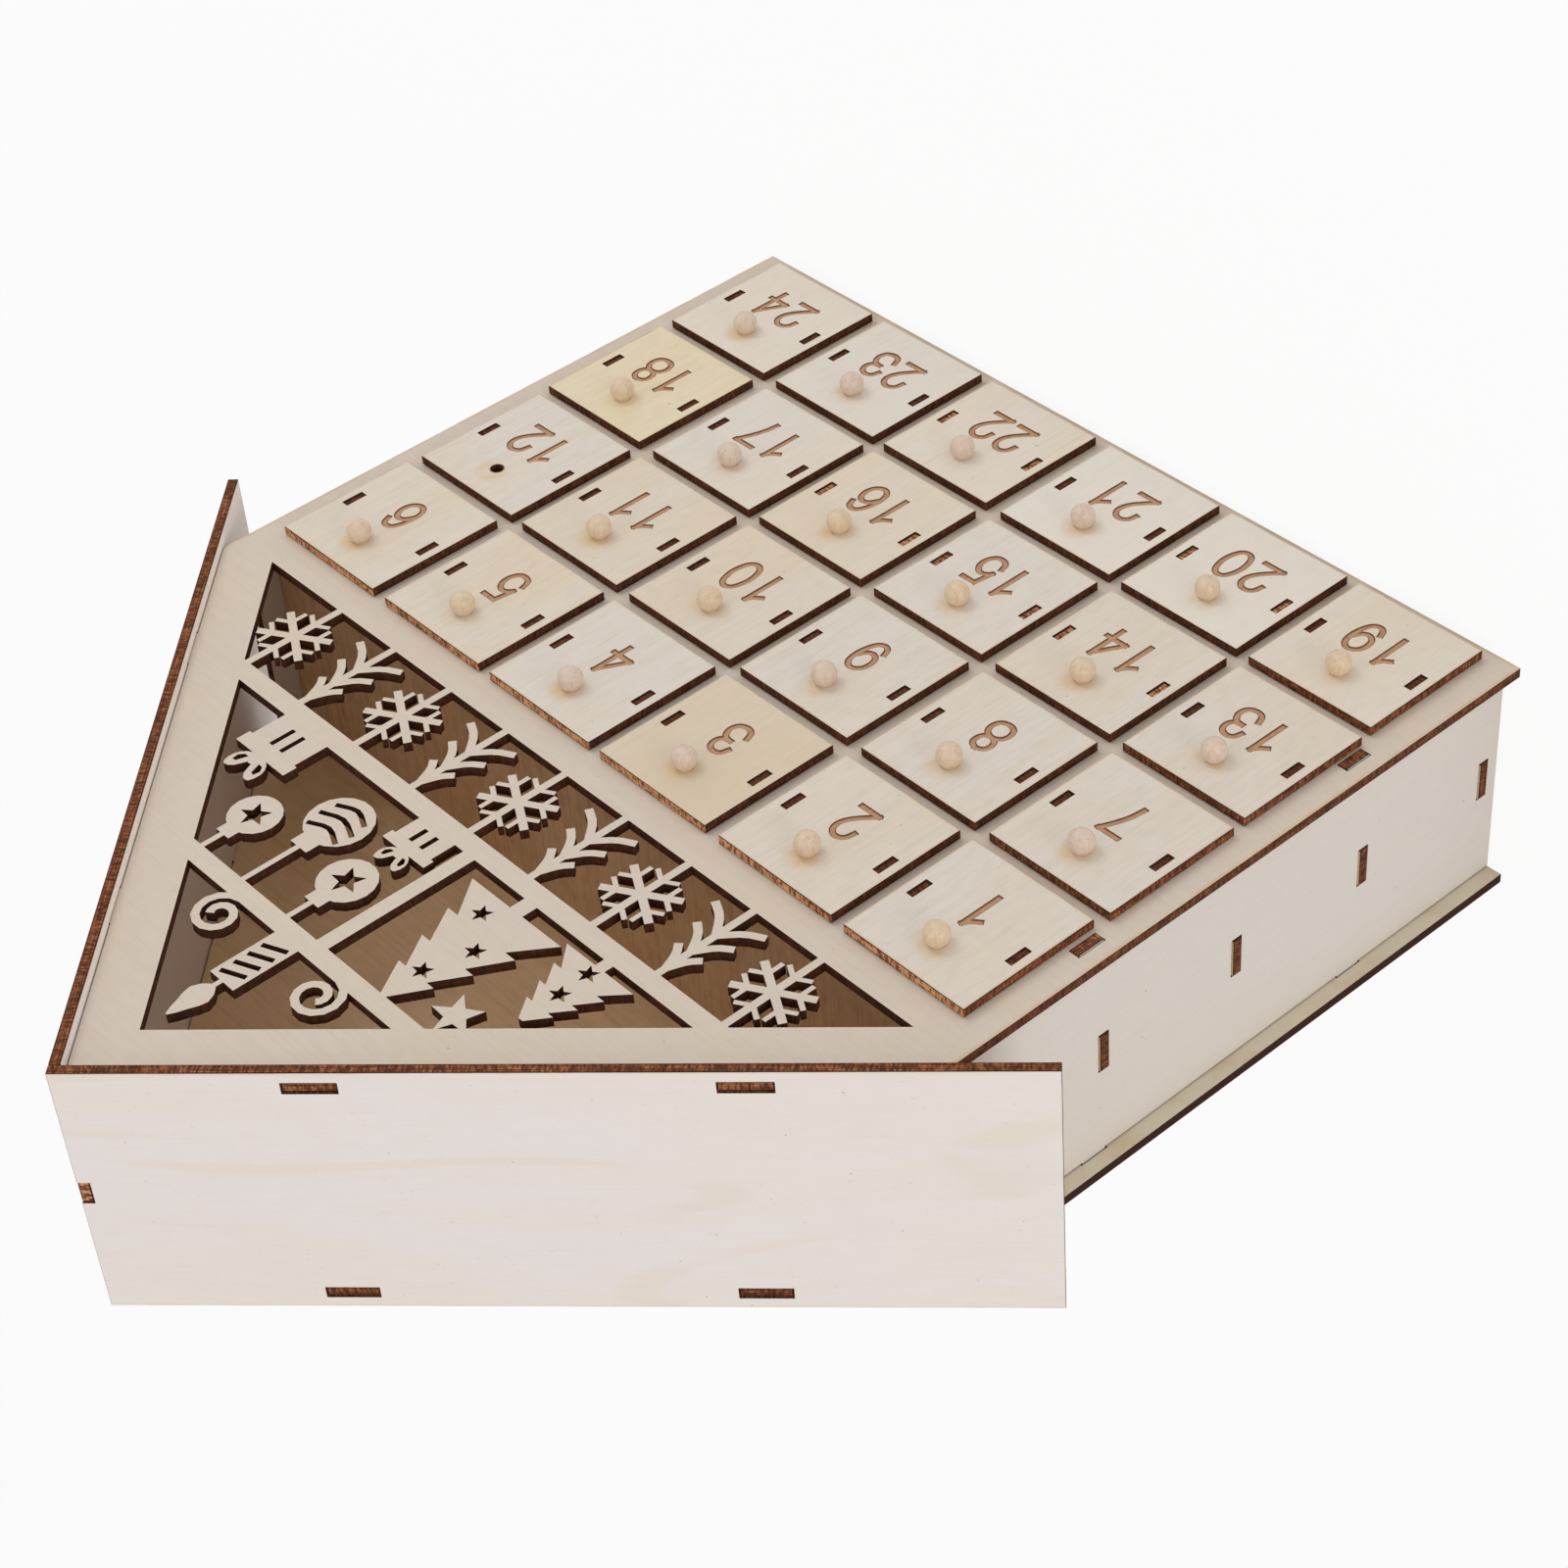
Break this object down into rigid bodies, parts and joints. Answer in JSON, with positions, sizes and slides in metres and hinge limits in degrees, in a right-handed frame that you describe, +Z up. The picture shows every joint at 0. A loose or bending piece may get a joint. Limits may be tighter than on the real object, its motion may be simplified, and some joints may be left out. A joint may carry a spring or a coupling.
{
  "type": "wooden drawer advent calendar",
  "caption": "Gabled house of laser-cut plywood whose front holds a grid of small numbered drawers with ball knobs, below a fretwork gable.",
  "frame": {"origin": "middle of the footprint, on the plane that the house stands on", "axes": "+Z up from the bottom edges to the ridge, -Y out of the drawer fronts, +X to the right as seen from the front"},
  "size_m": [0.3444, 0.09, 0.3657],
  "materials": {
    "panel_plywood": "raw sanded birch-like plywood with laser-burnt edges",
    "roof_plywood": "raw sanded birch-like plywood with laser-burnt edges",
    "wall_plywood": "raw sanded birch-like plywood with laser-burnt edges",
    "inner_plywood": "raw sanded birch-like plywood with laser-burnt edges",
    "drawer_front_plywood": "raw sanded birch-like plywood with laser-burnt edges",
    "yellow_front_plywood": "raw sanded birch-like plywood with laser-burnt edges",
    "tray_plywood": "raw sanded birch-like plywood with laser-burnt edges"
  },
  "bodies": {
    "house": {"front_panel": "panel_plywood", "back_panel": "panel_plywood", "left_wall": "wall_plywood", "right_wall": "wall_plywood", "attic_floor": "inner_plywood", "base_rack": "inner_plywood", "shelf_rack_1": "inner_plywood", "shelf_rack_2": "inner_plywood", "shelf_rack_3": "inner_plywood", "left_roof_board": "roof_plywood", "right_roof_board": "roof_plywood"},
    "drawer_01": {"drawer_front_01": "drawer_front_plywood", "drawer_tray_01": "tray_plywood"},
    "drawer_02": {"drawer_front_02": "drawer_front_plywood", "drawer_tray_02": "tray_plywood"},
    "drawer_03": {"drawer_front_03": "drawer_front_plywood", "drawer_tray_03": "tray_plywood"},
    "drawer_04": {"drawer_front_04": "drawer_front_plywood", "drawer_tray_04": "tray_plywood"},
    "drawer_05": {"drawer_front_05": "drawer_front_plywood", "drawer_tray_05": "tray_plywood"},
    "drawer_06": {"drawer_front_06": "drawer_front_plywood", "drawer_tray_06": "tray_plywood"},
    "drawer_07": {"drawer_front_07": "drawer_front_plywood", "drawer_tray_07": "tray_plywood"},
    "drawer_08": {"drawer_front_08": "drawer_front_plywood", "drawer_tray_08": "tray_plywood"},
    "drawer_09": {"drawer_front_09": "drawer_front_plywood", "drawer_tray_09": "tray_plywood"},
    "drawer_10": {"drawer_front_10": "drawer_front_plywood", "drawer_tray_10": "tray_plywood"},
    "drawer_11": {"drawer_front_11": "drawer_front_plywood", "drawer_tray_11": "tray_plywood"},
    "drawer_12": {"drawer_front_12": "drawer_front_plywood", "drawer_tray_12": "tray_plywood"},
    "drawer_13": {"drawer_front_13": "drawer_front_plywood", "drawer_tray_13": "tray_plywood"},
    "drawer_14": {"drawer_front_14": "drawer_front_plywood", "drawer_tray_14": "tray_plywood"},
    "drawer_15": {"drawer_front_15": "drawer_front_plywood", "drawer_tray_15": "tray_plywood"},
    "drawer_16": {"drawer_front_16": "drawer_front_plywood", "drawer_tray_16": "tray_plywood"},
    "drawer_17": {"drawer_front_17": "drawer_front_plywood", "drawer_tray_17": "tray_plywood"},
    "drawer_18": {"drawer_front_18": "yellow_front_plywood", "drawer_tray_18": "tray_plywood"},
    "drawer_19": {"drawer_front_19": "drawer_front_plywood", "drawer_tray_19": "tray_plywood"},
    "drawer_20": {"drawer_front_20": "drawer_front_plywood", "drawer_tray_20": "tray_plywood"},
    "drawer_21": {"drawer_front_21": "drawer_front_plywood", "drawer_tray_21": "tray_plywood"},
    "drawer_22": {"drawer_front_22": "drawer_front_plywood", "drawer_tray_22": "tray_plywood"},
    "drawer_23": {"drawer_front_23": "drawer_front_plywood", "drawer_tray_23": "tray_plywood"},
    "drawer_24": {"drawer_front_24": "drawer_front_plywood", "drawer_tray_24": "tray_plywood"}
  },
  "joints": [
    {"name": "drawer_01_slide", "type": "slide", "parent": "house", "child": "drawer_01", "axis": [0, -1, 0], "range_m": [0, 0.06]},
    {"name": "drawer_02_slide", "type": "slide", "parent": "house", "child": "drawer_02", "axis": [0, -1, 0], "range_m": [0, 0.06]},
    {"name": "drawer_03_slide", "type": "slide", "parent": "house", "child": "drawer_03", "axis": [0, -1, 0], "range_m": [0, 0.06]},
    {"name": "drawer_04_slide", "type": "slide", "parent": "house", "child": "drawer_04", "axis": [0, -1, 0], "range_m": [0, 0.06]},
    {"name": "drawer_05_slide", "type": "slide", "parent": "house", "child": "drawer_05", "axis": [0, -1, 0], "range_m": [0, 0.06]},
    {"name": "drawer_06_slide", "type": "slide", "parent": "house", "child": "drawer_06", "axis": [0, -1, 0], "range_m": [0, 0.06]},
    {"name": "drawer_07_slide", "type": "slide", "parent": "house", "child": "drawer_07", "axis": [0, -1, 0], "range_m": [0, 0.06]},
    {"name": "drawer_08_slide", "type": "slide", "parent": "house", "child": "drawer_08", "axis": [0, -1, 0], "range_m": [0, 0.06]},
    {"name": "drawer_09_slide", "type": "slide", "parent": "house", "child": "drawer_09", "axis": [0, -1, 0], "range_m": [0, 0.06]},
    {"name": "drawer_10_slide", "type": "slide", "parent": "house", "child": "drawer_10", "axis": [0, -1, 0], "range_m": [0, 0.06]},
    {"name": "drawer_11_slide", "type": "slide", "parent": "house", "child": "drawer_11", "axis": [0, -1, 0], "range_m": [0, 0.06]},
    {"name": "drawer_12_slide", "type": "slide", "parent": "house", "child": "drawer_12", "axis": [0, -1, 0], "range_m": [0, 0.06]},
    {"name": "drawer_13_slide", "type": "slide", "parent": "house", "child": "drawer_13", "axis": [0, -1, 0], "range_m": [0, 0.06]},
    {"name": "drawer_14_slide", "type": "slide", "parent": "house", "child": "drawer_14", "axis": [0, -1, 0], "range_m": [0, 0.06]},
    {"name": "drawer_15_slide", "type": "slide", "parent": "house", "child": "drawer_15", "axis": [0, -1, 0], "range_m": [0, 0.06]},
    {"name": "drawer_16_slide", "type": "slide", "parent": "house", "child": "drawer_16", "axis": [0, -1, 0], "range_m": [0, 0.06]},
    {"name": "drawer_17_slide", "type": "slide", "parent": "house", "child": "drawer_17", "axis": [0, -1, 0], "range_m": [0, 0.06]},
    {"name": "drawer_18_slide", "type": "slide", "parent": "house", "child": "drawer_18", "axis": [0, -1, 0], "range_m": [0, 0.06]},
    {"name": "drawer_19_slide", "type": "slide", "parent": "house", "child": "drawer_19", "axis": [0, -1, 0], "range_m": [0, 0.06]},
    {"name": "drawer_20_slide", "type": "slide", "parent": "house", "child": "drawer_20", "axis": [0, -1, 0], "range_m": [0, 0.06]},
    {"name": "drawer_21_slide", "type": "slide", "parent": "house", "child": "drawer_21", "axis": [0, -1, 0], "range_m": [0, 0.06]},
    {"name": "drawer_22_slide", "type": "slide", "parent": "house", "child": "drawer_22", "axis": [0, -1, 0], "range_m": [0, 0.06]},
    {"name": "drawer_23_slide", "type": "slide", "parent": "house", "child": "drawer_23", "axis": [0, -1, 0], "range_m": [0, 0.06]},
    {"name": "drawer_24_slide", "type": "slide", "parent": "house", "child": "drawer_24", "axis": [0, -1, 0], "range_m": [0, 0.06]}
  ]
}
